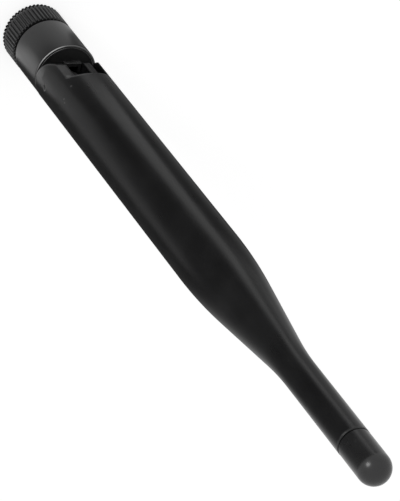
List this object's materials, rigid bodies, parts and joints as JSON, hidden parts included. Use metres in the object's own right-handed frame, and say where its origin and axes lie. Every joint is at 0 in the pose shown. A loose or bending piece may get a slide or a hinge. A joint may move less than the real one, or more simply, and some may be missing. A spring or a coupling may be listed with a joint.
{
  "type": "antenna",
  "caption": "Articulating black whip antenna: knurled threaded coaxial plug, swivel base, tilting knuckle, wide radome tapering to a thin stem with an end cap.",
  "frame": {"origin": "on the antenna's axis, at the open end of the coupling nut's grip", "axes": "+Z along the straight antenna towards its tip; +X is the way the knuckle tilts; +Y along its pin"},
  "size_m": [0.01, 0.01, 0.1233],
  "materials": {
    "black_plastic": "satin",
    "grip_plastic": "satin",
    "cable_jacket": "matte",
    "brass": "turned",
    "gold_plate": "plated",
    "insulator": "matte",
    "rubber": "matte",
    "spring_steel": "drawn",
    "clear_plastic": "moulded",
    "foam": "foam"
  },
  "bodies": {
    "plug_core": {"connector_ferrule": "gold_plate", "dielectric": "insulator", "centre_contact": "gold_plate", "crimp_ring": "brass", "mating_gasket": "rubber", "snap_ring": "spring_steel", "swivel_oring": "rubber", "base_retaining_ring": "spring_steel"},
    "nut": {"coupling_nut": "brass", "grip_sleeve": "grip_plastic"},
    "base": {"swivel_base": "black_plastic", "coax_cable": "cable_jacket"},
    "whip": {"radome": "black_plastic", "end_cap": "black_plastic", "hinge_pin": "spring_steel", "choke_sleeve": "brass", "foam_collar": "foam", "choke_spacer": "clear_plastic", "feed_bead": "clear_plastic", "feed_crimp": "brass", "joint_sleeve": "cable_jacket", "radiator_wire": "brass", "stem_spacer": "clear_plastic"}
  },
  "joints": [
    {"name": "nut_spin", "type": "hinge", "parent": "plug_core", "child": "nut", "pos_m": [0, 0, 0], "axis": [0, 0, 1], "continuous": true},
    {"name": "base_swivel", "type": "hinge", "parent": "plug_core", "child": "base", "pos_m": [0, 0, 0], "axis": [0, 0, 1], "range_deg": [-180, 180]},
    {"name": "whip_tilt", "type": "hinge", "parent": "base", "child": "whip", "pos_m": [0, 0, 0.01775], "axis": [0, 1, 0], "range_deg": [0, 90], "deforming": ["coax_cable"]}
  ]
}
